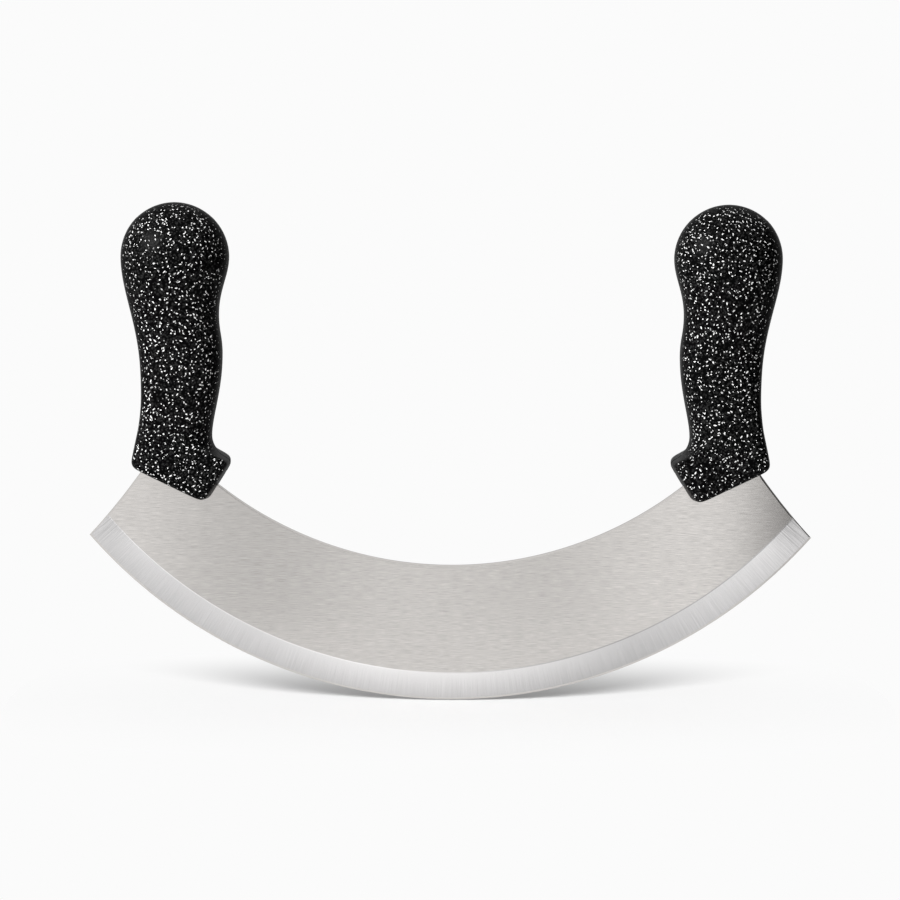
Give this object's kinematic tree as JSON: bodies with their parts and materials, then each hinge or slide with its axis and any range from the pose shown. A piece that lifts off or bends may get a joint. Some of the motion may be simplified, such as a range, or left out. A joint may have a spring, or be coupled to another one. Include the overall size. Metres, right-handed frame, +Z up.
{
  "type": "pizza rocker knife",
  "caption": "Crescent rocker knife: a curved steel blade, ground along its convex edge, with an upright moulded grip at each end, for rocking cuts through pizza and herbs.",
  "frame": {"origin": "lowest point of the cutting edge, on the blade's mid-plane", "axes": "+X along the blade from the left tip to the right tip, +Y through the blade's thickness away from the viewer, +Z up towards the tops of the handles"},
  "size_m": [0.26, 0.029, 0.1793],
  "materials": {
    "blade_steel": "satin stainless steel brushed along the blade, with a brighter ground bevel along the edge",
    "handle_plastic": "satin-gloss black plastic with white flecks moulded through it"
  },
  "bodies": {
    "root": {"blade": "blade_steel", "left_handle": "handle_plastic", "right_handle": "handle_plastic"}
  },
  "joints": []
}
